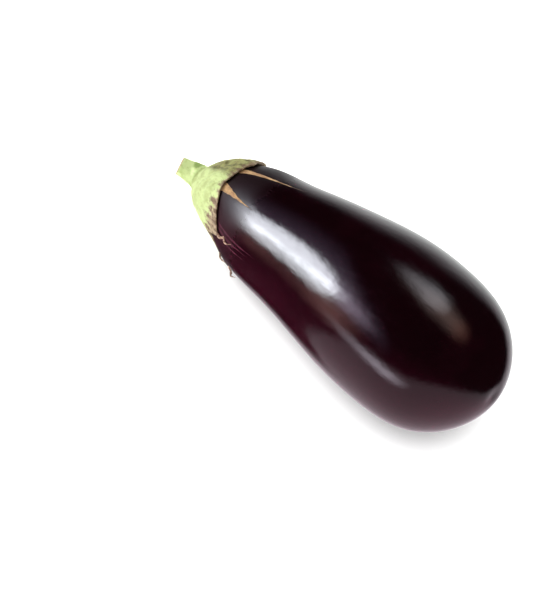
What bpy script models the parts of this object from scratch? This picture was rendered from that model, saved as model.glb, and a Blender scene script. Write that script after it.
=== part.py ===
"""A whole eggplant lying on its side: the fruit, the leafy calyx that caps it, and the cut stem.

Every piece is modelled along the fruit's own axis, which starts at the crown under the calyx (x = 0) and runs to the
blossom end (+x). Angles round the axis are in degrees from +y towards +z. An empty then tips that axis and sets it
down, so that the fruit lies on the small flat spot on its flank, at the world's origin.
"""

import math

import bmesh
import bpy
import numpy as np
from mathutils import Matrix, Vector

MM = 0.001

# The fruit's outline, as (distance along the axis, radius) in mm, from the crown to the blossom end.
FRUIT_OUTLINE = [
    (0, 0), (2, 9.5), (8, 16.5), (18, 22.6), (34, 29.0), (62, 34.2),
    (96, 40.0), (126, 44.4), (154, 45.0), (179.5, 40.7), (199.3, 26.2), (209.5, 0),
]
FRUIT_LENGTH = 209.5
FRUIT_RINGS, FRUIT_SECTORS = 40, 56

# The axis bows a little to one side at the neck and again at the bulb: (place, amount, spread) in mm.
BOWS = [(48, 1.7, 22), (175, 1.1, 30)]
BOW_ANGLE = 203

# Soft ribs run down from the calyx and fade out along the neck.
RIB_COUNT, RIB_HEIGHT, RIB_PHASE, RIB_FADE = 5, 0.45, 41, 60
# The cross-section is slightly oval towards the bulb.
OVAL_HEIGHT, OVAL_PHASE = 0.35, 70
# The dimple at the blossom end.
DIMPLE_DEPTH, DIMPLE_RADIUS = 0.9, 4.5

# How it lies: the flank is the stretch that rests, so the blossom end of the axis is the higher one.
REST_TILT = 8.5
FLAT_SPOT_DEPTH = 0.35

# The calyx: a flat hub for the stem, an outer outline that swells over the crown, and five pointed lobes.
CALYX_OUTLINE = [(-10, 8.2), (-6.5, 10.6), (-2, 14.4), (4, 18.8), (12, 22.6), (20, 25.6), (28, 28.3), (36, 30.9)]
CALYX_GAP = 0.3
RIM_THICKNESS = 1.3
HUB_OFFSET = 3.4
HUB_BLEND_END = 16
CALYX_SECTORS, CALYX_ROWS = 60, 8
# The lobes' tips and the notches between them, as (angle, distance along the axis) in degrees and mm.
LOBE_TIPS = [(50, 25), (157, 35), (208, 40), (275, 28), (328, 27)]
LOBE_NOTCHES = [(10, 20), (114, 20.4), (184, 23), (242, 20), (303, 19)]
LOBE_POINT = 1.4

# The stem: a tapering stalk that curls over evenly from the hub to its straight cut end.
STEM_LENGTH = 15.6
STEM_CURL, STEM_CURL_ANGLE = 38, 133
STEM_BASE_RADIUS, STEM_END_RADIUS = 7.7, 5.2
STEM_RIDGES, STEM_RIDGE_HEIGHT = 5, 0.35
STEM_SECTORS, STEM_RINGS = 30, 9


def smooth_curve(points, closed):
    """A cubic spline through the points with no jump in curvature, as a function of 0 to 1 (or to a full lap)."""
    points = np.array(points, float)
    if closed:
        points = np.vstack([points, points[:1]])
    knots = np.concatenate([[0], np.cumsum(np.linalg.norm(np.diff(points, axis=0), axis=1) ** 0.5)])
    gaps = np.diff(knots)
    slopes = np.diff(points, axis=0) / gaps[:, None]
    last = len(points) - 1
    matrix = np.zeros((last + 1, last + 1))
    known = np.zeros_like(points)
    for i in range(1, last):
        matrix[i, i - 1 : i + 2] = gaps[i - 1], 2 * (gaps[i - 1] + gaps[i]), gaps[i]
        known[i] = 6 * (slopes[i] - slopes[i - 1])
    if closed:
        matrix[0, [0, last]] = 1, -1
        matrix[last, [0, 1]] = 2 * gaps[0], gaps[0]
        matrix[last, [last - 1, last]] += gaps[-1], 2 * gaps[-1]
        known[last] = 6 * (slopes[0] - slopes[-1])
    else:
        matrix[0, 0] = matrix[last, last] = 1
    bends = np.linalg.solve(matrix, known)

    def at(place):
        distance = np.atleast_1d(place) * knots[-1]
        i = np.clip(np.searchsorted(knots, distance, side="right") - 1, 0, last - 1)
        gap = gaps[i][:, None]
        after = (distance - knots[i])[:, None]
        before = gap - after
        return (
            (bends[i] * before**3 + bends[i + 1] * after**3) / (6 * gap)
            + (points[i] / gap - bends[i] * gap / 6) * before
            + (points[i + 1] / gap - bends[i + 1] * gap / 6) * after
        )

    return at


def fruit_outline(count):
    """Points on the fruit's outline from pole to pole. Mirroring the outline keeps both poles smooth."""
    mirrored = [(x, -r) for x, r in FRUIT_OUTLINE[-2:0:-1]]
    curve = smooth_curve(FRUIT_OUTLINE + mirrored, closed=True)
    lap = np.linspace(0, 1, 4001)
    points = curve(lap)
    far_pole = lap[int(points[:, 0].argmax())]
    return curve(np.linspace(0, far_pole, count))


FINE_OUTLINE = fruit_outline(2000)


def fruit_radius(x):
    return np.interp(x, FINE_OUTLINE[:, 0], FINE_OUTLINE[:, 1])


def fruit_slope(x):
    """How steeply the outline rises at x, as an angle in radians."""
    step = 0.5
    low, high = max(x - step, 0.05), min(x + step, FRUIT_LENGTH - 0.05)
    return math.atan2(fruit_radius(high) - fruit_radius(low), high - low)


def direction(angle):
    """The unit vector across the axis at this angle."""
    return np.array([0, math.cos(math.radians(angle)), math.sin(math.radians(angle))])


def bow(x):
    """How far the axis has moved sideways at x."""
    return sum(amount * math.exp(-(((x - place) / spread) ** 2)) for place, amount, spread in BOWS)


def unevenness(x, angle):
    """What the ribs and the oval section add to the radius."""
    rib = RIB_HEIGHT * math.exp(-((x / RIB_FADE) ** 2)) * math.cos(math.radians(RIB_COUNT * (angle - RIB_PHASE)))
    oval = OVAL_HEIGHT * math.sin(math.pi * min(x / FRUIT_LENGTH, 1)) * math.cos(math.radians(2 * (angle - OVAL_PHASE)))
    return rib + oval


def fruit_point(x, radius, angle):
    """A point of the fruit's skin, with the unevenness fading out towards the poles."""
    fade = min(radius / 10, 1)
    reach = radius + fade * unevenness(x, angle)
    dimple = DIMPLE_DEPTH * math.exp(-((radius / DIMPLE_RADIUS) ** 2)) if x > FRUIT_LENGTH / 2 else 0
    return np.array([x - dimple, 0, 0]) + reach * direction(angle) + bow(x) * direction(BOW_ANGLE)


def closed_mesh(name, rings, first_pole, last_pole):
    """A closed body from rings of points, with a fan of faces to a pole at each end. Points are in mm."""
    mesh = bmesh.new()
    loops = [[mesh.verts.new(Vector(p) * MM) for p in ring] for ring in rings]
    sectors = len(rings[0])
    for one, other in zip(loops, loops[1:]):
        for i in range(sectors):
            j = (i + 1) % sectors
            mesh.faces.new((one[i], one[j], other[j], other[i]))
    for pole, loop in ((first_pole, loops[0]), (last_pole, loops[-1])):
        tip = mesh.verts.new(Vector(pole) * MM)
        for i in range(sectors):
            mesh.faces.new((tip, loop[i], loop[(i + 1) % sectors]))
    bmesh.ops.recalc_face_normals(mesh, faces=mesh.faces)
    return mesh


def slice_off(mesh, point, outward):
    """Cuts off what lies beyond a plane and closes the cut with one flat face, whose centre is returned."""
    everything = mesh.verts[:] + mesh.edges[:] + mesh.faces[:]
    bmesh.ops.bisect_plane(mesh, geom=everything, plane_co=point, plane_no=outward, clear_outer=True)
    edges = [e for e in mesh.edges if e.is_boundary]
    face = bmesh.ops.holes_fill(mesh, edges=edges, sides=0)["faces"][0]
    bmesh.ops.recalc_face_normals(mesh, faces=mesh.faces)
    corners = np.array([v.co for v in face.verts])
    return Vector((corners.min(0) + corners.max(0)) / 2)


def make_fruit():
    outline = fruit_outline(FRUIT_RINGS + 2)[1:-1]
    angles = [360 * i / FRUIT_SECTORS for i in range(FRUIT_SECTORS)]
    rings = [[fruit_point(x, r, a) for a in angles] for x, r in outline]
    crown = fruit_point(0, 0, 0)
    blossom_end = fruit_point(FRUIT_LENGTH, 0, 0)
    return closed_mesh("fruit", rings, crown, blossom_end)


def rim_distance(angle):
    """How far along the axis the calyx reaches at this angle: a row of pointed lobes between notches."""
    notches = LOBE_NOTCHES + [(LOBE_NOTCHES[0][0] + 360, LOBE_NOTCHES[0][1])]
    turned = angle if angle >= notches[0][0] else angle + 360
    for tip, start, end in zip(LOBE_TIPS, notches, notches[1:]):
        if start[0] <= turned <= end[0]:
            notch = start if turned < tip[0] else end
            share = abs(turned - tip[0]) / abs(notch[0] - tip[0])
            return tip[1] + (notch[1] - tip[1]) * share**LOBE_POINT
    return notches[0][1]


CALYX_CURVE = smooth_curve(CALYX_OUTLINE, closed=False)(np.linspace(0, 1, 400))


def calyx_radius(x):
    """The outer radius of the calyx, never thinner over the fruit than at the rim."""
    swell = np.interp(x, CALYX_CURVE[:, 0], CALYX_CURVE[:, 1])
    if x < 2:
        return swell
    wall = (CALYX_GAP + RIM_THICKNESS) / math.cos(fruit_slope(x))
    return max(swell, fruit_radius(x) + wall)


def hub_shift(x):
    """The hub sits a little to one side of the fruit's axis, and the calyx eases back over the shoulders."""
    share = min(max((HUB_BLEND_END - x) / (HUB_BLEND_END - CALYX_OUTLINE[0][0]), 0), 1)
    return HUB_OFFSET * share * share * (3 - 2 * share)


def hub_centre():
    hub = CALYX_OUTLINE[0][0]
    return np.array([hub, 0, 0]) + (hub_shift(hub) + bow(hub)) * direction(BOW_ANGLE)


def calyx_inner_point(x, angle):
    """A point one gap outside the fruit's skin."""
    slope = fruit_slope(x)
    skin = fruit_point(x, fruit_radius(x), angle)
    return skin + CALYX_GAP * (math.cos(slope) * direction(angle) - math.sin(slope) * np.array([1, 0, 0]))


def calyx_outer_point(x, angle):
    radius = calyx_radius(x)
    reach = radius + unevenness(x, angle) * min(max(x / 10, 0), 1)
    middle = bow(x) * direction(BOW_ANGLE) + hub_shift(x) * direction(BOW_ANGLE)
    return np.array([x, 0, 0]) + reach * direction(angle) + middle


def make_calyx():
    """Rows run from the crown along the inside to the rim, and back along the outside to the hub."""
    angles = [360 * i / CALYX_SECTORS for i in range(CALYX_SECTORS)]
    rims = [rim_distance(a) for a in angles]
    first_inner, hub = 0.6, CALYX_OUTLINE[0][0]
    inner_shares = [(i / CALYX_ROWS) ** 1.5 for i in range(CALYX_ROWS + 1)]
    inner = [
        [calyx_inner_point(first_inner + (rim - first_inner) * share, a) for a, rim in zip(angles, rims)]
        for share in inner_shares
    ]
    outer_shares = [i / CALYX_ROWS for i in range(CALYX_ROWS + 1)]
    outer = [
        [calyx_outer_point(rim + (hub - rim) * share, a) for a, rim in zip(angles, rims)]
        for share in outer_shares
    ]
    crown = fruit_point(0, 0, 0) - np.array([CALYX_GAP, 0, 0])
    return closed_mesh("calyx", inner + outer, crown, hub_centre())


def stem_frame(share):
    """The stem's centre at this share of its length, and the way it points there. It curls along a round arc."""
    full_turn = math.radians(STEM_CURL)
    turn = full_turn * share
    arc_radius = STEM_LENGTH / full_turn
    outwards, sideways = np.array([-1, 0, 0]), direction(STEM_CURL_ANGLE)
    centre = hub_centre() + CALYX_GAP * outwards
    centre = centre + arc_radius * (math.sin(turn) * outwards + (1 - math.cos(turn)) * sideways)
    return centre, math.cos(turn) * outwards + math.sin(turn) * sideways


def stem_ring(share):
    """One ring of the stem, square to its centre line, with soft ridges that start above the hub."""
    centre, heading = stem_frame(share)
    across = np.cross(heading, direction(STEM_CURL_ANGLE - 90))
    along_bend = np.cross(across, heading)
    radius = STEM_BASE_RADIUS + (STEM_END_RADIUS - STEM_BASE_RADIUS) * share
    ring = []
    for i in range(STEM_SECTORS):
        turn = 2 * math.pi * i / STEM_SECTORS
        reach = radius + STEM_RIDGE_HEIGHT * min(4 * share, 1) * math.cos(STEM_RIDGES * turn)
        ring.append(centre + reach * (math.cos(turn) * across + math.sin(turn) * along_bend))
    return ring


def make_stem():
    rings = [stem_ring(i / STEM_RINGS) for i in range(STEM_RINGS + 1)]
    return closed_mesh("stem", rings, stem_frame(0)[0], stem_frame(1)[0])


def make_material(name, colour, roughness):
    material = bpy.data.materials.new(name)
    material.use_nodes = True
    shader = material.node_tree.nodes["Principled BSDF"]
    shader.inputs["Base Color"].default_value = (*colour, 1)
    shader.inputs["Roughness"].default_value = roughness
    shader.inputs["Metallic"].default_value = 0
    return material


def add_object(name, mesh, material, parent):
    data = bpy.data.meshes.new(name)
    mesh.to_mesh(data)
    mesh.free()
    data.shade_smooth()
    data.set_sharp_from_angle(angle=math.radians(40))
    data.materials.append(material)
    obj = bpy.data.objects.new(name, data)
    obj.parent = parent
    bpy.context.scene.collection.objects.link(obj)


def main():
    for obj in list(bpy.data.objects):
        bpy.data.objects.remove(obj)

    tip_over = Matrix.Rotation(math.radians(-REST_TILT), 3, "Y")
    up_in_axis_frame = tip_over.inverted() @ Vector((0, 0, 1))
    fruit = make_fruit()
    lowest = min(v.co.dot(up_in_axis_frame) for v in fruit.verts)
    floor = up_in_axis_frame * (lowest + FLAT_SPOT_DEPTH * MM)
    flat_spot = slice_off(fruit, floor, -up_in_axis_frame)

    axis = bpy.data.objects.new("eggplant_axis", None)
    axis.rotation_euler = (0, math.radians(-REST_TILT), 0)
    axis.location = -(tip_over @ flat_spot)
    bpy.context.scene.collection.objects.link(axis)

    add_object("fruit", fruit, make_material("aubergine_skin", (0.018, 0.004, 0.010), 0.22), axis)
    add_object("calyx", make_calyx(), make_material("calyx_green", (0.46, 0.50, 0.20), 0.7), axis)
    add_object("stem", make_stem(), make_material("stem_green", (0.48, 0.60, 0.22), 0.6), axis)


main()
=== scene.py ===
"""The looks of a whole eggplant on its flank: glossy skin, leafy calyx and cut stem, in a studio.

The shapes are worked out in the fruit's own axes, in mm: x runs from the crown under the calyx to the
blossom end, and angles round it are in degrees from +y towards +z. finish_piece() then sets them down
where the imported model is.
"""

import math

import bpy
import numpy as np
from mathutils import Matrix, Vector, noise


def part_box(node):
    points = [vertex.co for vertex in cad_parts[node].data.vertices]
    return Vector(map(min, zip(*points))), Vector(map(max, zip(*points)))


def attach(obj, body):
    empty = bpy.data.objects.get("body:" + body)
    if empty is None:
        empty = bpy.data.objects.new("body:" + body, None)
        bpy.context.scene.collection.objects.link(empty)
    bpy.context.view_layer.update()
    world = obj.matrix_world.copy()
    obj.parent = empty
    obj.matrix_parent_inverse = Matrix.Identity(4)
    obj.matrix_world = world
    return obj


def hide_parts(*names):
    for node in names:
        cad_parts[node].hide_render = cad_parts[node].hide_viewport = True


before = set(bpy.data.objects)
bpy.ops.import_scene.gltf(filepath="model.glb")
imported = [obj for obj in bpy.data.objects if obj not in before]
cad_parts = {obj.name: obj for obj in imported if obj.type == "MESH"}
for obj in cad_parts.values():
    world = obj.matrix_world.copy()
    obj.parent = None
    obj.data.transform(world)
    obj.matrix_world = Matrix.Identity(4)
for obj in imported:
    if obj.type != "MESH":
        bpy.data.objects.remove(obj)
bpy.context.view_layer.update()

MM = 0.001

# ---------------------------------------------------------------- the fruit's shape, as it is packed

FRUIT_OUTLINE = [
    (0, 0), (2, 9.5), (8, 16.5), (18, 22.6), (34, 29.0), (62, 34.2),
    (96, 40.0), (126, 44.4), (154, 45.0), (179.5, 40.7), (199.3, 26.2), (209.5, 0),
]
FRUIT_LENGTH = FRUIT_OUTLINE[-1][0]
BOWS = [(48, 1.7, 22), (175, 1.1, 30)]
BOW_ANGLE = 203
RIB_COUNT, RIB_HEIGHT, RIB_PHASE, RIB_FADE = 5, 0.45, 41, 60
OVAL_HEIGHT, OVAL_PHASE = 0.35, 70
DIMPLE_DEPTH, DIMPLE_RADIUS = 0.9, 4.5
REST_TILT = 8.5
FLAT_SPOT_DEPTH = 0.35

# The calyx and the stem.
HUB_X = -10.15
HUB_OFFSET, HUB_BLEND_END = 3.4, 16
CALYX_OUTLINE = [
    (HUB_X, 8.0), (-8.4, 9.0), (-6, 11.4), (-2, 15.2), (4, 19.2), (12, 22.8), (20, 25.7), (28, 28.5),
    (36, 31.0), (44, 33.0),
]
SKIN_GAP, LEAF_THICKNESS, CROWN_START = 0.25, 0.9, 0.6
# Each lobe: its tip's angle and reach along the axis, the next notch's angle and reach, and how hollow
# each side is.
LOBES = [
    {"tip": (62, 21.5), "notch": (114, 19.2), "before": 0.7, "after": 0.25},
    {"tip": (160, 35.5), "notch": (192, 11), "before": 0.62, "after": 0.85},
    {"tip": (209, 41), "notch": (243, 20), "before": 0.5, "after": 0.6},
    {"tip": (277, 28), "notch": (303, 18), "before": 0.7, "after": 0.7},
    {"tip": (330, 28.5), "notch": (370, 16.5), "before": 0.6, "after": 0.7},
]
# The dry threads at the lobes' tips: (x, angle, height over the skin) along each, and its radius at
# the start.
THREADS = [
    {
        "path": [(33.5, 160, 0.9), (37, 158.5, 1.5), (39.5, 155, 1.0), (42, 157, 1.6), (46, 154.5, 0.5)],
        "radius": 0.75,
    },
    {"path": [(38, 208, 0.9), (42.5, 205, 1.8), (45, 201, 2.6), (46.5, 205, 1.6)], "radius": 0.7},
    {"path": [(30, 203, 0.9), (33, 200, 1.9), (37, 201, 0.8)], "radius": 0.6},
]
STEM_LENGTH = 15.75
STEM_CURL, STEM_CURL_ANGLE = 38, 133
STEM_END_RADIUS = 5.2
# The scar: how far along the stem and at which angle it is, and half its size in mm and degrees.
SCAR_AT, SCAR_HALF = (5.2, 66), (3.4, 27)


def smooth_curve(points, closed):
    """A cubic spline through the points with no jump in curvature, as a function of 0 to 1."""
    points = np.array(points, float)
    if closed:
        points = np.vstack([points, points[:1]])
    knots = np.concatenate([[0], np.cumsum(np.linalg.norm(np.diff(points, axis=0), axis=1) ** 0.5)])
    gaps = np.diff(knots)
    slopes = np.diff(points, axis=0) / gaps[:, None]
    last = len(points) - 1
    matrix = np.zeros((last + 1, last + 1))
    known = np.zeros_like(points)
    for i in range(1, last):
        matrix[i, i - 1 : i + 2] = gaps[i - 1], 2 * (gaps[i - 1] + gaps[i]), gaps[i]
        known[i] = 6 * (slopes[i] - slopes[i - 1])
    if closed:
        matrix[0, [0, last]] = 1, -1
        matrix[last, [0, 1]] = 2 * gaps[0], gaps[0]
        matrix[last, [last - 1, last]] += gaps[-1], 2 * gaps[-1]
        known[last] = 6 * (slopes[0] - slopes[-1])
    else:
        matrix[0, 0] = matrix[last, last] = 1
    bends = np.linalg.solve(matrix, known)

    def at(place):
        distance = np.atleast_1d(place) * knots[-1]
        i = np.clip(np.searchsorted(knots, distance, side="right") - 1, 0, last - 1)
        gap = gaps[i][:, None]
        after = (distance - knots[i])[:, None]
        before = gap - after
        return (
            (bends[i] * before**3 + bends[i + 1] * after**3) / (6 * gap)
            + (points[i] / gap - bends[i] * gap / 6) * before
            + (points[i + 1] / gap - bends[i + 1] * gap / 6) * after
        )

    return at


def fine_fruit_outline():
    """The outline from pole to pole in many steps. Mirroring it keeps both poles smooth."""
    mirrored = [(x, -r) for x, r in FRUIT_OUTLINE[-2:0:-1]]
    curve = smooth_curve(FRUIT_OUTLINE + mirrored, closed=True)
    lap = curve(np.linspace(0, 1, 16001))
    return lap[: int(lap[:, 0].argmax()) + 1]


FRUIT_CURVE = fine_fruit_outline()
CALYX_CURVE = smooth_curve(CALYX_OUTLINE, closed=False)(np.linspace(0, 1, 2000))


def direction(angle):
    """Unit vectors across the axis at these angles."""
    turn = np.radians(angle)
    return np.stack([np.zeros_like(turn), np.cos(turn), np.sin(turn)], -1)


def ease(low, high, value):
    """0 below low, 1 above high, and smooth between."""
    share = np.clip((value - low) / (high - low), 0, 1)
    return share * share * (3 - 2 * share)


def angle_between(a, b):
    """The signed difference between angles, from -180 to 180."""
    return (a - b + 180) % 360 - 180


def bow(x):
    return sum(amount * np.exp(-(((x - place) / spread) ** 2)) for place, amount, spread in BOWS)


def fruit_radius(x):
    return np.interp(x, FRUIT_CURVE[:, 0], FRUIT_CURVE[:, 1])


def unevenness(x, angle):
    rib = RIB_HEIGHT * np.exp(-((x / RIB_FADE) ** 2)) * np.cos(np.radians(RIB_COUNT * (angle - RIB_PHASE)))
    swell = OVAL_HEIGHT * np.sin(math.pi * np.clip(x / FRUIT_LENGTH, 0, 1))
    oval = swell * np.cos(np.radians(2 * (angle - OVAL_PHASE)))
    return rib + oval


def skin_reach(x, radius, angle):
    """How far the skin is from the fruit's bowed axis."""
    return radius + np.clip(radius / 10, 0, 1) * unevenness(x, angle)


def straightened(x, reach, angle):
    """The same points with the bow taken out, in metres: what the materials go by."""
    return (np.stack([x, np.zeros_like(x), np.zeros_like(x)], -1) + reach[..., None] * direction(angle)) * MM


def around_axis(x, reach, angle, sideways=0):
    """Points at this reach from the fruit's bowed axis, which may be moved sideways a little more."""
    along = np.stack([x, np.zeros_like(x), np.zeros_like(x)], -1)
    moved = ((bow(x) + sideways) * np.ones_like(x))[..., None] * direction(np.full_like(x, BOW_ANGLE))
    return along + reach[..., None] * direction(angle) + moved



def roughness_field(points, wavelength, seed, octaves=3):
    """Smooth noise from about -1 to 1 at these points, with that wavelength in mm."""
    flat = points.reshape(-1, 3) / wavelength + np.array([seed * 17.3, seed * -9.1, seed * 5.7])
    values = [noise.fractal(Vector(p), 1.0, 2.0, octaves) for p in flat]
    return np.array(values).reshape(points.shape[:-1])


# ---------------------------------------------------------------- meshes

def grid_faces(rows, columns):
    """Quads between rings of points, each ring closed round on itself."""
    ring = np.arange(columns)
    after = (ring + 1) % columns
    start = np.arange(rows - 1)[:, None] * columns
    quads = np.stack([start + ring, start + after, start + columns + after, start + columns + ring], -1)
    return quads.reshape(-1, 4)


def fan_faces(start, columns, pole, flip):
    ring = np.arange(columns)
    after = (ring + 1) % columns
    faces = np.stack([np.full(columns, pole), start + ring, start + after], -1)
    return faces[:, ::-1] if flip else faces


def build_mesh(name, rings, first_pole, last_pole, values):
    """A closed mesh, in mm, from rings of points and the poles that close its ends. values become point
    attributes: each has one number, or one vector, for every ring point, and takes the nearest ring's mean
    at a pole."""
    rows, columns = rings.shape[:2]
    points = np.concatenate([rings.reshape(-1, 3), [first_pole, last_pole]])
    count = rows * columns
    quads = grid_faces(rows, columns)
    faces = [*map(tuple, quads.tolist())]
    faces += map(tuple, fan_faces(0, columns, count, True).tolist())
    faces += map(tuple, fan_faces(count - columns, columns, count + 1, False).tolist())
    mesh = bpy.data.meshes.new(name)
    mesh.from_pydata((points * MM).tolist(), [], faces)
    for key, value in values.items():
        flat = value.reshape(count, -1)
        ends = np.stack([flat[:columns].mean(0), flat[-columns:].mean(0)])
        kind = "FLOAT" if flat.shape[1] == 1 else "FLOAT_VECTOR"
        attribute = mesh.attributes.new(key, kind, "POINT")
        field = "value" if kind == "FLOAT" else "vector"
        attribute.data.foreach_set(field, np.concatenate([flat, ends]).astype(np.float32).ravel())
    mesh.shade_smooth()
    return mesh


def outward(mesh):
    """Turns the faces of a closed mesh outward."""
    corners = np.array([v.co for v in mesh.vertices])
    mesh.calc_loop_triangles()
    triangles = np.array([t.vertices for t in mesh.loop_triangles])
    a, b, c = corners[triangles].transpose(1, 0, 2)
    if np.einsum("ij,ij->", a, np.cross(b, c)) < 0:
        mesh.flip_normals()
    return mesh


def placement():
    """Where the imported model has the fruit's own axes: tipped, and set down on the flat spot."""
    tip_over = Matrix.Rotation(math.radians(-REST_TILT), 4, "Y")
    rings, _ = fruit_grid([0, FRUIT_LENGTH], [120], 180)
    tipped = rings.reshape(-1, 3) * MM @ np.array(tip_over.to_3x3()).T
    low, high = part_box("fruit")
    shift = (
        high.x - tipped[:, 0].max(),
        (low.y + high.y - tipped[:, 1].min() - tipped[:, 1].max()) / 2,
        low.z - FLAT_SPOT_DEPTH * MM - tipped[:, 2].min(),
    )
    return Matrix.Translation(shift) @ tip_over


def finish_piece(name, mesh, material, node):
    """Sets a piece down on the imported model. What would reach below the surface is pressed flat."""
    mesh.transform(PLACE)
    outward(mesh)
    height = np.array([v.co for v in mesh.vertices])
    height[:, 2] = np.maximum(height[:, 2], 0)
    mesh.vertices.foreach_set("co", height.astype(np.float32).ravel())
    mesh.update()
    mesh.materials.append(material)
    piece = bpy.data.objects.new(name, mesh)
    bpy.context.scene.collection.objects.link(piece)
    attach(piece, "root")
    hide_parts(node)
    return piece


# ---------------------------------------------------------------- the fruit

# The corky streaks that start at the calyx, as (x, angle) with angles from -90 to 270, and their width
# at the start.
STREAKS = [
    {"start": (17, 113), "bend": (34, 112.5), "end": (53, 112), "width": 6.4},
    {"start": (20, 78), "bend": (46, 69), "end": (68, 63), "width": 4.2},
    {"start": (16, -57), "bend": (30, -59), "end": (44, -58), "width": 4.0},
    {"start": (17, 243), "bend": (27, 244), "end": (38, 243), "width": 3.4},
]

# Fine pinkish lines past the lower lobe's tip.
FAINT_STREAKS = [
    {"start": (44, 155), "bend": (54, 153.5), "end": (66, 152.5), "width": 1.5},
    {"start": (50, 150), "bend": (60, 149), "end": (73, 148.5), "width": 1.2},
    {"start": (47, 160.5), "bend": (55, 159), "end": (64, 158.5), "width": 1.2},
]


def ring_places(outline, edges, counts):
    """Where along the outline the rings go: counts[i] of them from edges[i] to edges[i + 1], in mm of x."""
    along = np.interp(edges, outline[:, 0], np.arange(len(outline)))
    parts = [np.linspace(a, b, n, endpoint=False) for a, b, n in zip(along, along[1:], counts)]
    places = np.concatenate(parts + [[along[-1]]])[1:-1]
    index = np.arange(len(outline))
    return np.stack([np.interp(places, index, outline[:, 0]), np.interp(places, index, outline[:, 1])], -1)


def fruit_grid(edges, counts, columns):
    """Rings of points over the whole fruit, and the same points straightened."""
    profile = ring_places(FRUIT_CURVE, edges, counts)
    angle = np.broadcast_to(np.arange(columns) * 360 / columns, (len(profile), columns))
    x = np.broadcast_to(profile[:, :1], angle.shape)
    radius = np.broadcast_to(profile[:, 1:], angle.shape)
    reach = skin_reach(x, radius, angle)
    dimple = np.where(x > FRUIT_LENGTH / 2, DIMPLE_DEPTH * np.exp(-((radius / DIMPLE_RADIUS) ** 2)), 0)
    rings = around_axis(x, reach, angle) - dimple[..., None] * np.array([1.0, 0, 0])
    return rings, straightened(x, reach, angle)


def make_fruit():
    rings, own = fruit_grid([0, 14, 72, 190, FRUIT_LENGTH], [14, 96, 110, 60], 300)
    mesh = build_mesh("eggplant_fruit", rings, rings[0].mean(0), rings[-1].mean(0), {"own": own})
    return finish_piece("eggplant_fruit", mesh, skin_material(), "fruit")


# ---------------------------------------------------------------- the calyx

def rim_distance(angle):
    """How far along the axis the calyx reaches at these angles, with a ragged edge."""
    turned = np.where(angle < LOBES[-1]["notch"][0] - 360, angle + 360, angle)
    reach = np.zeros_like(turned)
    notch = (LOBES[-1]["notch"][0] - 360, LOBES[-1]["notch"][1])
    for lobe in LOBES:
        tip, following = lobe["tip"], lobe["notch"]
        rising = (turned >= notch[0]) & (turned <= tip[0])
        share = (tip[0] - turned) / (tip[0] - notch[0])
        reach = np.where(rising, tip[1] + (notch[1] - tip[1]) * np.abs(share) ** lobe["before"], reach)
        falling = (turned > tip[0]) & (turned <= following[0])
        share = (turned - tip[0]) / (following[0] - tip[0])
        reach = np.where(falling, tip[1] + (following[1] - tip[1]) * np.abs(share) ** lobe["after"], reach)
        notch = following
    circle = 24 * direction(angle)
    return reach + 0.5 * roughness_field(circle, 5, 1) + 0.25 * roughness_field(circle, 1.6, 2)


def hub_shift(x):
    share = np.clip((HUB_BLEND_END - x) / (HUB_BLEND_END + 10), 0, 1)
    return HUB_OFFSET * share * share * (3 - 2 * share)


def lobe_relief(x, angle):
    """Midribs that run from the stem to each lobe's tip, and grooves that run to each notch."""
    relief = np.zeros_like(x)
    for lobe in LOBES:
        arc = np.radians(angle_between(angle, lobe["tip"][0])) * np.interp(x, [-10, 30], [10, 28])
        relief += 0.75 * np.exp(-((arc / 2.6) ** 2)) * ease(-13, -4, x) * (1 - 0.6 * ease(14, 30, x))
        arc = np.radians(angle_between(angle, lobe["notch"][0])) * np.interp(x, [-10, 30], [10, 28])
        relief -= 0.9 * np.exp(-((arc / 2.4) ** 2)) * ease(-11, -2, x)
    return relief


def calyx_outside(angle_row, rim_row, rows):
    """The outer side from the rim to the hub: its points, and how far along the axis and from the rim
    they are."""
    share = np.linspace(0, 1, rows)[:, None]
    angle = np.broadcast_to(angle_row, (rows, len(angle_row)))
    rim = np.broadcast_to(rim_row, angle.shape)
    x = rim + (HUB_X - rim) * share
    from_rim = rim - x
    skin = skin_reach(x, fruit_radius(np.clip(x, 0.5, None)), angle)
    lift = edge_lift(angle) * np.exp(-from_rim / 5)
    free = np.interp(x, CALYX_CURVE[:, 0], CALYX_CURVE[:, 1])
    free = free + unevenness(x, angle) * np.clip(x / 10, 0, 1)
    least = skin + 0.3 + LEAF_THICKNESS * (1 - np.exp(-from_rim / 0.6)) + lift
    reach = np.where(x > 2, np.maximum(free, least), free)
    reach = reach + lobe_relief(x, angle) * (1 - np.exp(-from_rim / 3))
    points = around_axis(x, reach, angle, hub_shift(x))
    # Puckered and wrinkled, less so at the hub.
    bumps = 0.5 * roughness_field(points, 5.5, 3) + 0.2 * roughness_field(points, 2.0, 4, 2)
    bumps = bumps + 0.35 * roughness_field(points * np.array([0.25, 1, 1]), 2.6, 7, 2) * ease(2, 16, x)
    reach = reach + bumps * ease(-12, -6, x) * (1 - np.exp(-from_rim / 1.5))
    return around_axis(x, reach, angle, hub_shift(x)), x, from_rim


def calyx_inside(angle_row, rim_row, rows):
    """The inner side from the crown to the rim, just off the skin, in the same form."""
    angle = np.broadcast_to(angle_row, (rows, len(angle_row)))
    rim = np.broadcast_to(rim_row, angle.shape)
    share = (np.linspace(0, 1, rows) ** 0.7)[:, None]
    x = CROWN_START + (rim - 0.05 - CROWN_START) * share
    lift = edge_lift(angle) * np.exp(-(rim - x) / 5)
    reach = skin_reach(x, fruit_radius(x), angle) + SKIN_GAP + lift
    return around_axis(x, reach, angle), x, rim - x


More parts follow.
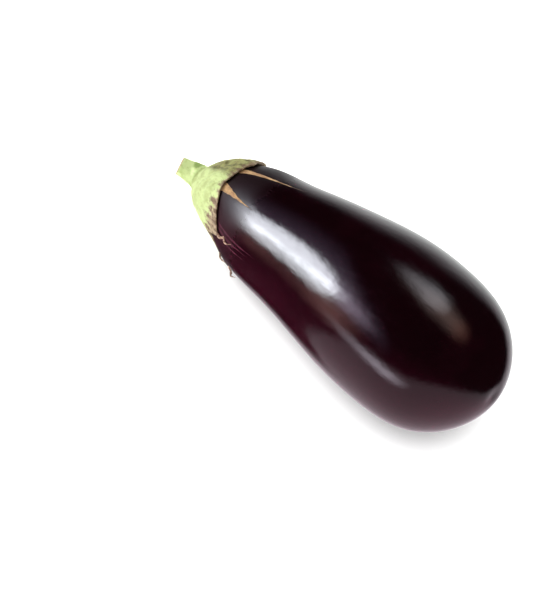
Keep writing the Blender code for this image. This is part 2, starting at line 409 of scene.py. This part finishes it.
def make_calyx():
    columns, outer_rows, inner_rows = 420, 100, 26
    angle_row = np.arange(columns) * 360 / columns
    rim_row = rim_distance(angle_row)
    sides = calyx_inside(angle_row, rim_row, inner_rows), calyx_outside(angle_row, rim_row, outer_rows)
    rings, along, to_rim = (np.concatenate(parts) for parts in zip(*sides))
    angle = np.broadcast_to(angle_row, along.shape)
    olive_half = 58 - 14 * ease(4, -8, along)
    values = {
        "own": rings * MM,
        "olive": ease(olive_half, olive_half - 16, np.abs(angle_between(angle, 46))) * ease(-6, 0, along),
        "dry": np.maximum(0.85 * np.exp(-to_rim / 1.6), 0.95 * ease(9, 28, along)),
        # Lobe 3's tip, round 214 degrees and from 18 mm along, is painted dark brown.
        "dark_tip": ease(16, 9, np.abs(angle_between(angle, 214))) * ease(18, 30, along),
    }
    mesh = build_mesh("eggplant_calyx", rings, rings[0].mean(0), rings[-1].mean(0), values)
    return finish_piece("eggplant_calyx", mesh, calyx_material(), "calyx")


def edge_lift(angle):
    """How far the dry edge has curled up off the skin."""
    circle = 24 * direction(angle)
    return 0.5 + 0.5 * roughness_field(circle, 14, 5)


def make_thread(name, path, radius):
    """A dry, tapering thread that winds along just off the skin."""
    rows, columns = 60, 12
    x, angle, height = smooth_curve(path, closed=False)(np.linspace(0, 1, rows)).T
    centre = around_axis(x, skin_reach(x, fruit_radius(x), angle) + height, angle)
    ahead = np.gradient(centre, axis=0)
    ahead /= np.linalg.norm(ahead, axis=1)[:, None]
    sideways = np.cross(ahead, direction(angle))
    sideways /= np.linalg.norm(sideways, axis=1)[:, None]
    upwards = np.cross(sideways, ahead)
    turn = np.arange(columns) * 2 * math.pi / columns
    uneven = 1 + 0.2 * np.sin(np.linspace(0, 19, rows))
    thickness = radius * (1 - 0.7 * np.linspace(0, 1, rows) ** 1.5) * uneven
    rims = np.cos(turn)[:, None] * sideways[:, None] + np.sin(turn)[:, None] * upwards[:, None]
    rings = centre[:, None] + thickness[:, None, None] * rims
    mesh = build_mesh(name, rings, centre[0], centre[-1], {"own": rings * MM})
    return finish_piece(name, mesh, thread_material(), "calyx")


# ---------------------------------------------------------------- the stem

def stem_place(distance, angle, reach):
    """Points on the stem: this far along its centre line, at this angle round it and this far from it."""
    full_turn = math.radians(STEM_CURL)
    turn = full_turn * distance / STEM_LENGTH
    arc_radius = STEM_LENGTH / full_turn
    outwards, sideways = np.array([-1.0, 0, 0]), direction(np.array(float(STEM_CURL_ANGLE)))
    start = around_axis(np.array([HUB_X]), np.zeros(1), np.zeros(1), hub_shift(HUB_X))[0]
    arc = np.sin(turn)[..., None] * outwards + (1 - np.cos(turn))[..., None] * sideways
    centre = start + arc_radius * arc
    radial = direction(angle)
    in_bend = (radial @ sideways)[..., None]
    leaning = np.cos(turn)[..., None] * sideways - np.sin(turn)[..., None] * outwards
    return centre + reach[..., None] * (radial - in_bend * sideways + in_bend * leaning)


def make_stem():
    columns, rows, cap_rows = 180, 70, 16
    angle = np.broadcast_to(np.arange(columns) * 360 / columns, (rows, columns))
    distance = np.broadcast_to(np.linspace(0, STEM_LENGTH, rows)[:, None], angle.shape)
    share = distance / STEM_LENGTH
    hub_radius = CALYX_OUTLINE[0][1]
    flare = 1.3 * np.exp(-distance / 2.6)
    reach = STEM_END_RADIUS + (hub_radius - 0.9 - STEM_END_RADIUS) * (1 - share) + flare
    for lobe in LOBES:
        arc = np.radians(angle_between(angle, lobe["tip"][0])) * 6.5
        reach = reach + 0.35 * np.exp(-((arc / 1.6) ** 2)) * ease(0, 4, distance)
    points = stem_place(distance, angle, reach)
    bumps = 0.28 * roughness_field(points * np.array([0.6, 1, 1]), 3.0, 6)
    from_scar = np.hypot(
        (distance - SCAR_AT[0]) / SCAR_HALF[0],
        angle_between(angle, SCAR_AT[1]) / SCAR_HALF[1],
    )
    scar = 0.55 * np.exp(-(((from_scar - 1) / 0.35) ** 2)) - 0.35 * np.exp(-((from_scar / 0.7) ** 2))
    reach = reach + (bumps + scar) * ease(0, 3, distance)
    reach = reach - 0.35 * np.exp(-(STEM_LENGTH - distance) / 0.3)
    side = stem_place(distance, angle, reach)
    # The cut end: a flat face with a slightly sunken, fibrous middle.
    inward = np.linspace(1, 0.04, cap_rows)[1:, None]
    cap_angle = np.broadcast_to(angle[0], (cap_rows - 1, columns))
    cap_reach = reach[-1] * inward
    sunken = -0.5 * (1 - inward**2) + 0.15 * np.cos(9 * inward)
    cap_distance = STEM_LENGTH + np.broadcast_to(sunken, cap_reach.shape)
    cap = stem_place(cap_distance, cap_angle, cap_reach)
    rings = np.concatenate([side, cap])
    cut = np.concatenate([ease(STEM_LENGTH - 0.9, STEM_LENGTH - 0.2, distance), np.ones_like(cap_reach)])
    values = {
        "own": rings * MM,
        "cut": cut,
        "cap_share": np.concatenate([np.ones_like(distance), np.broadcast_to(inward, cap_reach.shape)]),
        "scar": np.concatenate([np.exp(-((from_scar / 0.85) ** 4)), np.zeros_like(cap_reach)]),
    }
    mesh = build_mesh("eggplant_stem", rings, rings[0].mean(0), rings[-1].mean(0), values)
    return finish_piece("eggplant_stem", mesh, stem_material(), "stem")


# ---------------------------------------------------------------- materials

class Nodes:
    """A short way to write a material's nodes."""

    def __init__(self, name):
        self.material = bpy.data.materials.new(name)
        self.material.use_nodes = True
        self.tree = self.material.node_tree
        self.shader = self.tree.nodes["Principled BSDF"]

    def add(self, kind, inputs=(), **settings):
        node = self.tree.nodes.new(kind)
        for key, value in settings.items():
            setattr(node, key, value)
        for key, value in dict(inputs).items():
            self.set(node.inputs[key], value)
        return node

    def set(self, socket, value):
        if isinstance(value, bpy.types.NodeSocket):
            self.tree.links.new(value, socket)
        else:
            socket.default_value = value

    def attribute(self, name, output="Fac"):
        return self.add("ShaderNodeAttribute", attribute_name=name).outputs[output]

    def math(self, operation, *values):
        node = self.add("ShaderNodeMath", operation=operation)
        for socket, value in zip(node.inputs, values):
            self.set(socket, value)
        return node.outputs[0]

    def stretch(self, vector, scale):
        return self.add("ShaderNodeVectorMath", {0: vector, 1: scale}, operation="MULTIPLY").outputs[0]

    def noise(self, vector, wavelength_mm, detail=3, roughness=0.5):
        scale = 1 / (wavelength_mm * MM)
        inputs = {"Vector": vector, "Scale": scale, "Detail": detail, "Roughness": roughness}
        return self.add("ShaderNodeTexNoise", inputs).outputs["Fac"]

    def ramp(self, value, low, high, to_low=0.0, to_high=1.0):
        inputs = {"Value": value, "From Min": low, "From Max": high, "To Min": to_low, "To Max": to_high}
        return self.add("ShaderNodeMapRange", inputs, interpolation_type="SMOOTHSTEP").outputs[0]

    def straight(self, value, low, high, to_low, to_high):
        inputs = {"Value": value, "From Min": low, "From Max": high, "To Min": to_low, "To Max": to_high}
        return self.add("ShaderNodeMapRange", inputs).outputs[0]

    def cylindrical(self, own):
        """Distance along the fruit's axis in mm, angle round it from -90 to 270, and reach in mm."""
        parts = self.add("ShaderNodeSeparateXYZ", {0: own}).outputs
        along = self.math("DIVIDE", parts[0], MM)
        from_top = self.math("ARCTAN2", self.math("MULTIPLY", parts[1], -1.0), parts[2])
        around = self.math("ADD", self.math("MULTIPLY", from_top, 180 / math.pi), 90.0)
        across = self.math("ADD", self.math("POWER", parts[1], 2.0), self.math("POWER", parts[2], 2.0))
        return along, around, self.math("DIVIDE", self.math("SQRT", across), MM)

    def mix(self, factor, a, b):
        node = self.add("ShaderNodeMix", data_type="RGBA")
        self.set(node.inputs[0], factor)
        self.set(node.inputs[6], a)
        self.set(node.inputs[7], b)
        return node.outputs[2]

    def bump(self, height, distance_mm, strength=1.0, normal=None):
        inputs = {"Height": height, "Distance": distance_mm * MM, "Strength": strength}
        if normal is not None:
            inputs["Normal"] = normal
        return self.add("ShaderNodeBump", inputs).outputs[0]


def colour(red, green, blue):
    """A colour from its 0 to 255 screen values."""
    linear = [((c / 255 + 0.055) / 1.055) ** 2.4 if c > 10 else c / 255 / 12.92 for c in (red, green, blue)]
    return (*linear, 1)


def skin_material():
    n = Nodes("aubergine_skin")
    own = n.attribute("own", "Vector")
    along, around, reach = n.cylindrical(own)
    blotches = n.noise(own, 30, 4)
    grain = n.noise(n.stretch(own, (0.22, 1, 1)), 2.2, 4, 0.6)
    # Painted light and shade: the lower-left flank, round 205 degrees, is painted a lighter, redder purple,
    # and the top a darker one.
    painted_flank_light = n.ramp(n.math("ABSOLUTE", n.math("SUBTRACT", around, 205)), 95, 25)
    painted_flank_light = n.math("ADD", painted_flank_light, n.ramp(blotches, 0.3, 0.75, -0.15, 0.15))
    base = n.mix(painted_flank_light, colour(18, 2, 6), colour(47, 8, 22))
    mask = streak_mask(n, STREAKS, own, along, around, reach)
    faint = streak_mask(n, FAINT_STREAKS, own, along, around, reach)
    base = n.mix(n.math("MULTIPLY", faint, 0.5), base, colour(124, 66, 86))
    tan = n.mix(n.ramp(grain, 0.35, 0.65), colour(216, 178, 128), colour(172, 130, 92))
    n.set(n.shader.inputs["Base Color"], n.mix(mask, base, tan))
    gloss = n.math("ADD", n.ramp(grain, 0.3, 0.75, -0.03, 0.05), n.ramp(along, 34, 58, 0.46, 0.13))
    n.set(n.shader.inputs["Roughness"], n.math("MAXIMUM", gloss, n.math("MULTIPLY", mask, 0.65)))
    fine = n.bump(grain, 0.045)
    dappled = n.bump(n.noise(n.stretch(own, (0.5, 1, 1)), 4.5, 3, 0.55), 0.05, normal=fine)
    waves = n.bump(n.noise(own, 11, 2), 0.09, normal=dappled)
    n.set(n.shader.inputs["Normal"], n.bump(mask, 0.18, normal=waves))
    n.shader.inputs["IOR"].default_value = 1.38
    return n.material


def streak_mask(n, streaks, own, along, around, reach):
    """1 inside the streaks. Each runs from a start over a bend to an end, and narrows to nothing."""
    frayed = n.math("SUBTRACT", n.noise(n.stretch(own, (0.3, 1, 1)), 1.4, 3), 0.5)
    mask = 0.0
    for streak in streaks:
        (x0, a0), (x1, a1), (x2, a2) = streak["start"], streak["bend"], streak["end"]
        centre = n.math("ADD", n.straight(along, x0, x1, a0, a1), n.straight(along, x1, x2, 0, a2 - a1))
        off = n.math("ABSOLUTE", n.math("SUBTRACT", around, centre))
        off = n.math("MULTIPLY", n.math("MULTIPLY", off, reach), math.pi / 180)
        narrowing = n.math("POWER", n.straight(along, x0, x2, 1, 0), 1.8)
        half_width = n.math("MULTIPLY", narrowing, streak["width"] / 2)
        edge = n.math("MULTIPLY", frayed, n.math("MULTIPLY", n.math("MINIMUM", half_width, 0.6), 2.6))
        inside = n.math("SUBTRACT", n.math("ADD", half_width, edge), off)
        mask = n.math("MAXIMUM", mask, n.ramp(inside, 0.02, 0.22))
    return mask


def calyx_material():
    """Pale green in the middle, olive with dark mottles on the side in shade, and dry and brown at the edge.
    """
    n = Nodes("calyx_leaf")
    own = n.attribute("own", "Vector")
    patches = n.noise(own, 6, 4, 0.55)
    specks = n.noise(own, 1.5, 3, 0.65)
    veins = n.noise(n.stretch(own, (0.22, 1, 1)), 2.4, 3, 0.6)
    green = n.mix(n.ramp(patches, 0.42, 0.7), colour(212, 228, 156), colour(184, 198, 124))
    blots = n.noise(own, 3.2, 3, 0.6)
    olive = n.mix(n.ramp(blots, 0.4, 0.62), colour(160, 154, 94), colour(88, 80, 40))
    olive = n.mix(n.ramp(patches, 0.34, 0.52), colour(170, 170, 104), olive)
    shade = n.mix(n.math("MULTIPLY", n.attribute("olive"), 0.9), green, olive)
    shade = n.mix(n.ramp(specks, 0.6, 0.76, 0, 0.3), shade, colour(140, 150, 80))
    dryness = n.math("ADD", n.attribute("dry"), n.ramp(veins, 0.3, 0.7, -0.28, 0.28))
    brown = n.mix(n.ramp(veins, 0.4, 0.62), colour(186, 164, 132), colour(118, 92, 68))
    shade = n.mix(n.ramp(dryness, 0.3, 0.75), shade, brown)
    # The dark brown painted at lobe 3's tip.
    shade = n.mix(n.ramp(n.attribute("dark_tip"), 0.25, 0.8), shade, colour(58, 40, 34))
    n.set(n.shader.inputs["Base Color"], shade)
    n.shader.inputs["Roughness"].default_value = 0.6
    fine = n.bump(specks, 0.15)
    n.set(n.shader.inputs["Normal"], n.bump(veins, 0.3, normal=fine))
    return n.material


def thread_material():
    n = Nodes("dry_thread")
    fibre = n.noise(n.attribute("own", "Vector"), 1.2, 3)
    brown = n.mix(n.ramp(fibre, 0.35, 0.65), colour(206, 170, 142), colour(128, 92, 76))
    n.set(n.shader.inputs["Base Color"], brown)
    n.shader.inputs["Roughness"].default_value = 0.6
    n.set(n.shader.inputs["Normal"], n.bump(fibre, 0.15))
    return n.material


def stem_material():
    """Bright green with a knobbly scar, and a fibrous, tan cut end."""
    n = Nodes("stem_green")
    own = n.attribute("own", "Vector")
    patches = n.noise(own, 4.5, 4, 0.55)
    specks = n.noise(own, 1.1, 3, 0.65)
    green = n.mix(n.ramp(patches, 0.42, 0.68), colour(212, 230, 156), colour(184, 204, 120))
    green = n.mix(n.ramp(specks, 0.58, 0.72, 0, 0.4), green, colour(132, 158, 74))
    green = n.mix(n.math("MULTIPLY", n.attribute("scar"), 0.8), green, colour(128, 160, 62))
    rings = n.math("SINE", n.math("MULTIPLY", n.attribute("cap_share"), 26.0))
    fibre = n.mix(n.ramp(n.noise(own, 0.9, 3), 0.3, 0.7), colour(236, 222, 180), colour(196, 168, 122))
    fibre = n.mix(n.ramp(rings, 0.2, 1, 0, 0.4), fibre, colour(160, 128, 84))
    n.set(n.shader.inputs["Base Color"], n.mix(n.attribute("cut"), green, fibre))
    n.shader.inputs["Roughness"].default_value = 0.5
    fine = n.bump(specks, 0.12)
    n.set(n.shader.inputs["Normal"], n.bump(patches, 0.3, normal=fine))
    return n.material


# ---------------------------------------------------------------- the studio

CAMERA_AZIMUTH, CAMERA_ELEVATION = 46.4, 60
CAMERA_DISTANCE, CAMERA_LENS = 950, 107.4
CAMERA_TARGET = (-28.3, -33.5, 42.4)
ROOM_RADIUS, ROOM_HEIGHT = 2500, 45
FLOOR_HALF = 3000


def away(azimuth, elevation):
    """The unit vector that points this way: azimuth from +X towards +Y, elevation above the floor."""
    a, e = math.radians(azimuth), math.radians(elevation)
    return Vector((math.cos(a) * math.cos(e), math.sin(a) * math.cos(e), math.sin(e)))


def make_camera():
    camera = bpy.data.objects.new("camera", bpy.data.cameras.new("camera"))
    camera.data.lens = CAMERA_LENS
    back = away(CAMERA_AZIMUTH - 90, CAMERA_ELEVATION)
    camera.location = (Vector(CAMERA_TARGET) + CAMERA_DISTANCE * back) * MM
    camera.rotation_euler = back.to_track_quat("Z", "Y").to_euler()
    bpy.context.scene.collection.objects.link(camera)
    bpy.context.scene.camera = camera


def make_lamp(name, azimuth, elevation, distance, size, radiance):
    """A soft light this way from the fruit and facing it. It lights the matt surfaces, and isn't mirrored in
    the glossy skin."""
    light = bpy.data.lights.new(name, "AREA")
    light.shape = "DISK"
    light.size = size * MM
    light.energy = radiance * math.pi * math.pi * (size * MM / 2) ** 2
    lamp = bpy.data.objects.new(name, light)
    facing = away(azimuth, elevation)
    lamp.location = (facing * distance + Vector((0, 0, ROOM_HEIGHT))) * MM
    lamp.rotation_euler = facing.to_track_quat("Z", "Y").to_euler()
    lamp.visible_camera = lamp.visible_glossy = False
    bpy.context.scene.collection.objects.link(lamp)
    return lamp


# What the glossy skin mirrors: soft patches of light in a dark room, as seen from the fruit, over a pale
# floor. Angles are in degrees. Each patch has its middle, half its size, its turn, its light and how soft
# its edge is.
PATCH_SQUARENESS = 2.6
PATCHES = [
    {"at": (-156, 24), "half": (13, 7.5), "turn": 0, "light": (24, 25, 27), "soft": 0.4},
    {"at": (-143.5, 18), "half": (6, 9.5), "turn": 12, "light": (16, 17, 18), "soft": 0.45},
    {"at": (-138, 29), "half": (11, 7), "turn": -6, "light": (5.0, 4.3, 5.4), "soft": 0.8},
    {"at": (-152, 34), "half": (26, 8), "turn": 0, "light": (1.0, 0.78, 1.2), "soft": 0.9},
    {"at": (-130, 10), "half": (8, 11), "turn": 10, "light": (2.6, 1.3, 1.15), "soft": 0.85},
    {"at": (115, 53), "half": (11, 13), "turn": 20, "light": (4.6, 4.6, 4.9), "soft": 0.7},
    {"at": (86, 63), "half": (20, 12), "turn": 0, "light": (2.3, 1.6, 1.4), "soft": 0.9},
    {"at": (45, 52), "half": (11, 10), "turn": 0, "light": (1.3, 0.55, 0.4), "soft": 0.9},
    {"at": (-98, 3), "half": (20, 5), "turn": 0, "light": (6.4, 5.9, 6.8), "soft": 0.75},
    {"at": (115, -40), "half": (25, 28), "turn": 0, "light": (0.4, 0.55, 0.46), "soft": 0.7},
]
# How high up the floor seems to end, as (azimuth, elevation), and over how many degrees it fades out there.
FLOOR_EDGE = [
    (-180, -64), (-145, -64), (-134, -58), (-130, -42), (-125, -22), (-118, -5), (-112, 7), (-104, 13),
    (-90, 15), (-50, 14), (-30, 8), (-15, -1), (0, -13), (15, -27), (30, -36), (45, -40), (60, -38),
    (75, -30), (90, -10), (110, -2), (125, -4), (140, -14), (150, -40), (165, -62), (180, -64),
]
FLOOR_FADE = [(-180, 8), (-120, 5), (-20, 5), (60, 6), (90, 20), (130, 20), (150, 10), (180, 8)]
FLOOR_LIGHT = (0.92, 0.8, 0.88)


def patch_glow(points, patch):
    """How strongly each of these directions is lit by the patch, from 0 to 1."""
    middle = away(*patch["at"])
    level = Vector((-middle.y, middle.x, 0)).normalized()
    upward = middle.cross(level)
    turn = math.radians(patch["turn"])
    along = level * math.cos(turn) + upward * math.sin(turn)
    across = upward * math.cos(turn) - level * math.sin(turn)
    ahead = points @ np.array(middle)
    wide, high = (np.degrees(np.arctan2(points @ np.array(axis), ahead)) for axis in (along, across))
    wide, high = np.abs(wide / patch["half"][0]), np.abs(high / patch["half"][1])
    edge = (wide**PATCH_SQUARENESS + high**PATCH_SQUARENESS) ** (1 / PATCH_SQUARENESS)
    return ease(1 + patch["soft"], 1 - patch["soft"], edge) * (ahead > 0)


def make_mirrored_room():
    """A great ball round the fruit, painted with light. Only glossy surfaces mirror it."""
    turns = np.arange(-180, 180)
    rises = np.arange(-89.5, 90)
    azimuth, elevation = np.meshgrid(turns, rises)
    a, e = np.radians(azimuth), np.radians(elevation)
    points = np.stack([np.cos(a) * np.cos(e), np.sin(a) * np.cos(e), np.sin(e)], -1)
    edge, fade = (np.interp(azimuth, *np.array(table, float).T) for table in (FLOOR_EDGE, FLOOR_FADE))
    light = ease(edge + fade, edge - fade, elevation)[..., None] * np.array(FLOOR_LIGHT)
    for patch in PATCHES:
        light += patch_glow(points, patch)[..., None] * np.array(patch["light"])
    mesh = bpy.data.meshes.new("mirrored_room")
    vertices = points.reshape(-1, 3) * ROOM_RADIUS * MM
    mesh.from_pydata(vertices.tolist(), [], grid_faces(len(rises), len(turns)).tolist())
    attribute = mesh.attributes.new("light", "FLOAT_VECTOR", "POINT")
    attribute.data.foreach_set("vector", light.astype(np.float32).ravel())
    n = Nodes("painted_light")
    n.shader.inputs["Base Color"].default_value = (0, 0, 0, 1)
    n.shader.inputs["Specular IOR Level"].default_value = 0
    n.set(n.shader.inputs["Emission Color"], n.attribute("light", "Vector"))
    n.shader.inputs["Emission Strength"].default_value = 1
    n.material.cycles.emission_sampling = "NONE"
    mesh.materials.append(n.material)
    room = bpy.data.objects.new("mirrored_room", mesh)
    room.location.z = ROOM_HEIGHT * MM
    room.visible_camera = room.visible_diffuse = room.visible_shadow = room.visible_transmission = False
    bpy.context.scene.collection.objects.link(room)


def make_floor():
    """A plain white floor. The skin mirrors the painted room's floor in its stead."""
    half = FLOOR_HALF * MM
    corners = [(-half, -half, 0), (half, -half, 0), (half, half, 0), (-half, half, 0)]
    mesh = bpy.data.meshes.new("floor")
    mesh.from_pydata(corners, [], [(0, 1, 2, 3)])
    n = Nodes("floor_white")
    n.shader.inputs["Base Color"].default_value = (0.85, 0.85, 0.85, 1)
    n.shader.inputs["Roughness"].default_value = 0.6
    n.shader.inputs["Emission Color"].default_value = (1, 1, 1, 1)
    n.shader.inputs["Emission Strength"].default_value = 0.1
    mesh.materials.append(n.material)
    floor = bpy.data.objects.new("floor", mesh)
    floor.visible_glossy = False
    bpy.context.scene.collection.objects.link(floor)
    return floor


def make_world():
    """White light from all round. It lights the matt surfaces, and isn't mirrored in the glossy skin."""
    world = bpy.data.worlds.new("studio")
    world.use_nodes = True
    background = world.node_tree.nodes["Background"]
    background.inputs["Color"].default_value = (1, 1, 1, 1)
    background.inputs["Strength"].default_value = 0.75
    world.cycles_visibility.glossy = False
    bpy.context.scene.world = world


def make_studio():
    floor = make_floor()
    make_world()
    make_mirrored_room()
    make_lamp("side_light", azimuth=-165, elevation=40, distance=1500, size=500, radiance=6)
    above = make_lamp("floor_light", azimuth=0, elevation=90, distance=1300, size=2000, radiance=5)
    # Only the floor is lit from above, so it stays white and the fruit's shadow stays soft.
    lit = bpy.data.collections.new("lit_from_above")
    lit.objects.link(floor)
    above.light_linking.receiver_collection = lit
    bpy.context.scene.view_settings.view_transform = "Standard"


PLACE = placement()
make_fruit()
make_calyx()
for number, thread in enumerate(THREADS, 1):
    make_thread(f"eggplant_calyx_thread_{number}", thread["path"], thread["radius"])
make_stem()
make_camera()
make_studio()
